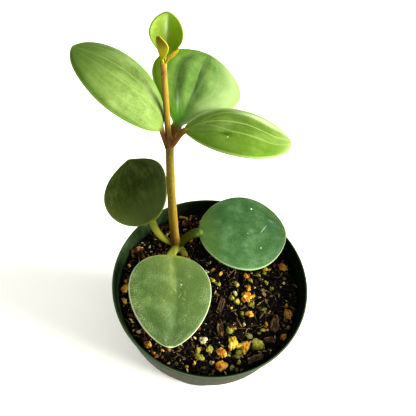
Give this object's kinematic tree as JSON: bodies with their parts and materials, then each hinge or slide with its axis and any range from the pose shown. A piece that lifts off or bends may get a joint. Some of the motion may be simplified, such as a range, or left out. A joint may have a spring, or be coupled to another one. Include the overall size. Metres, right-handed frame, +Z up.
{
  "type": "potted peperomia",
  "caption": "Young upright peperomia with whorls of thick oval leaves on one bare stem, growing in gritty potting mix in a round tapered nursery pot with a collar.",
  "frame": {"origin": "centre of the pot's flat underside", "axes": "+Z up along the pot's axis, -Y towards the viewer of the picture, +X to the viewer's right"},
  "size_m": [0.1008, 0.1052, 0.1904],
  "materials": {
    "pot_plastic": "satin dark green moulded plastic",
    "potting_mix": "dark crumbly bark and peat mix",
    "stem": "smooth olive and tan young stem",
    "leaf_sage": "waxy sage green, dusted",
    "leaf_bluegreen": "waxy blue green with a pale rim",
    "leaf_olive": "waxy dark olive green",
    "leaf_fresh": "waxy fresh yellow green",
    "leaf_mid": "waxy mid green",
    "leaf_young": "glossy bright green",
    "leaf_tiny": "glossy yellow green",
    "grit_cream": "dull cream granule",
    "grit_lime": "dull yellow green granule",
    "grit_orange": "dull orange granule",
    "grit_amber": "dull amber granule",
    "grit_rust": "dull rust granule",
    "bark": "rough brown bark"
  },
  "bodies": {
    "root": {"pot": "pot_plastic", "potting_mix": "potting_mix", "stem": "stem", "leaf_lower_front": "leaf_sage", "leaf_lower_right": "leaf_bluegreen", "leaf_lower_left": "leaf_olive", "leaf_upper_left": "leaf_fresh", "leaf_upper_back": "leaf_mid", "leaf_upper_right": "leaf_fresh", "leaf_young": "leaf_young", "leaf_tiny_left": "leaf_tiny", "leaf_tiny_right": "leaf_tiny", "grit_01": "grit_cream", "grit_02": "grit_lime", "grit_03": "grit_lime", "grit_04": "grit_orange", "grit_05": "grit_amber", "grit_06": "grit_orange", "grit_07": "grit_rust", "grit_08": "grit_lime", "grit_09": "grit_lime", "grit_10": "grit_orange", "grit_11": "grit_amber", "grit_12": "grit_orange", "grit_13": "grit_orange", "grit_14": "grit_rust", "grit_15": "grit_orange", "grit_16": "grit_rust", "bark_01": "bark", "bark_02": "bark", "bark_03": "bark", "bark_04": "bark", "bark_05": "bark"}
  },
  "joints": []
}
